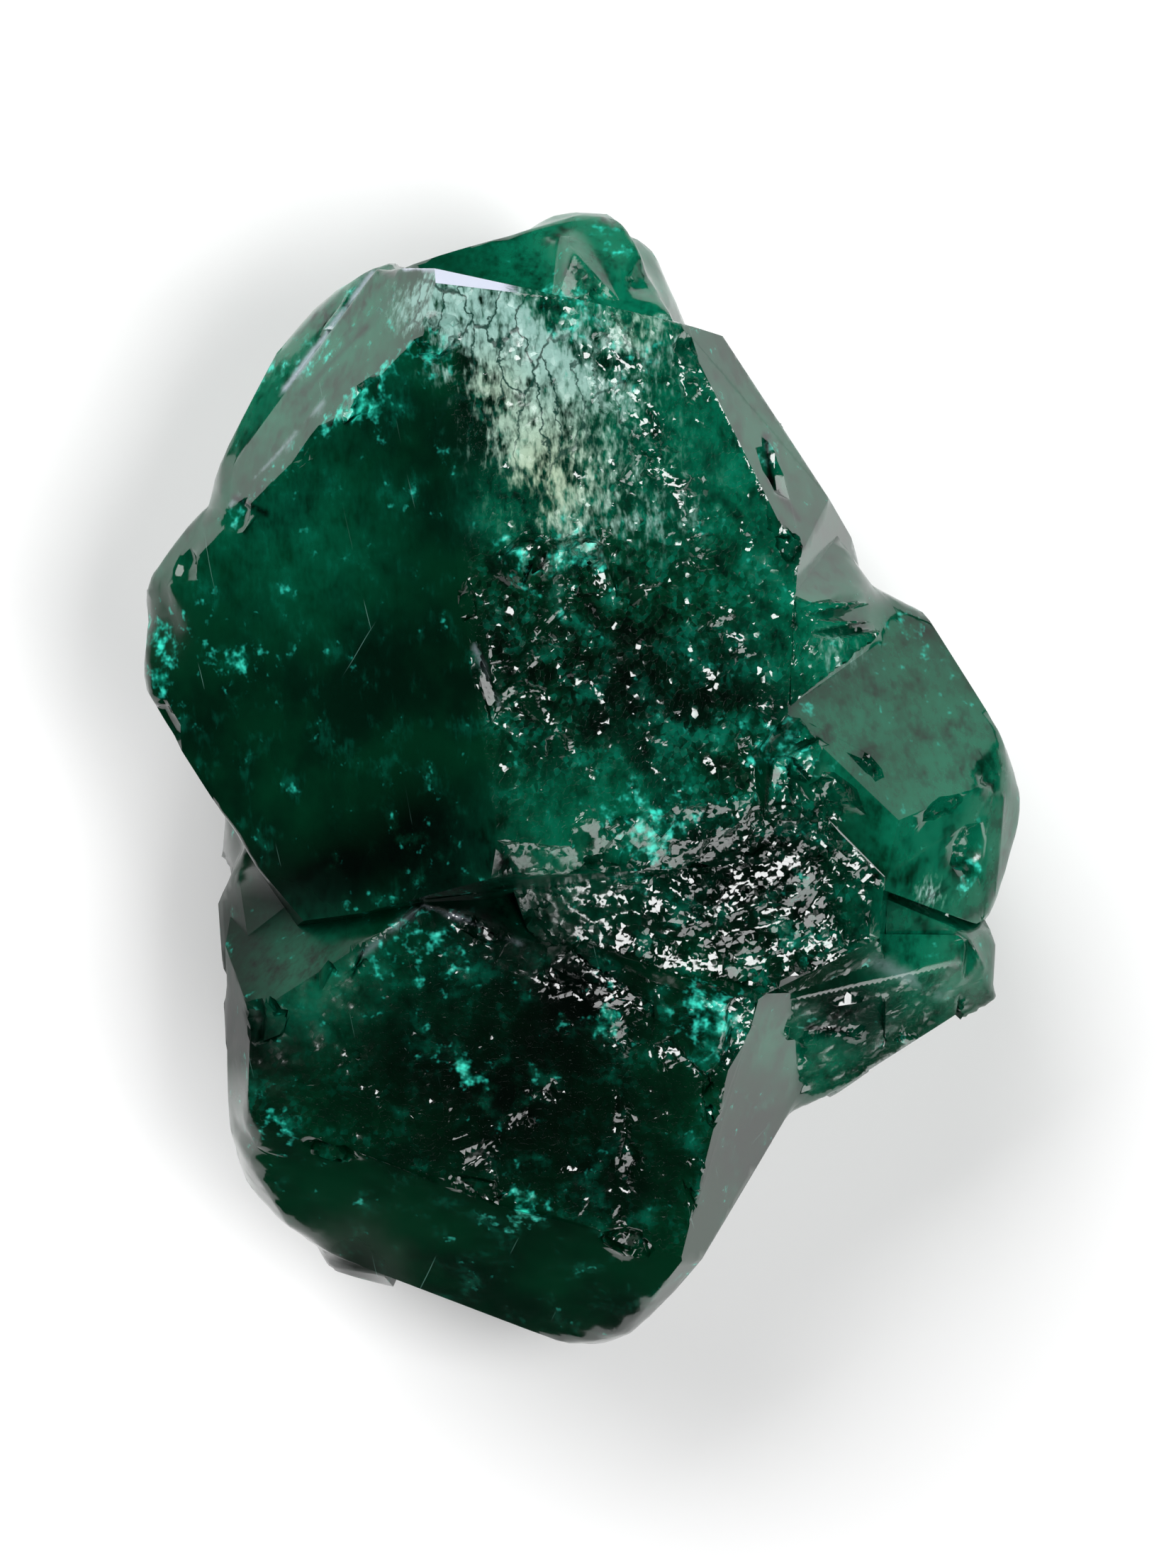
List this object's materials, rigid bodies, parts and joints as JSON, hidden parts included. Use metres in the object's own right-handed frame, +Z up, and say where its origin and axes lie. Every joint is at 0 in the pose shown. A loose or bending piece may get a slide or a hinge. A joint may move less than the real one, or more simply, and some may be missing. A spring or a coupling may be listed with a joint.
{
  "type": "dioptase_cluster",
  "caption": "Dioptase specimen: a cluster of blocky emerald green crystals with flat glassy faces, chipped edges and a hackly front, broken flat below to lie on.",
  "frame": {"origin": "centre of the bounding box of the specimen, on its flat broken base", "axes": "+X toward the specimen's right side as the viewer sees it, +Y along its longest way toward the small round crystal at its top end, +Z up from the flat base toward the viewer"},
  "size_m": [0.0234, 0.0303, 0.0166],
  "materials": {
    "dioptase": "gloss"
  },
  "bodies": {
    "root": {"dioptase_crystals": "dioptase"}
  },
  "joints": []
}
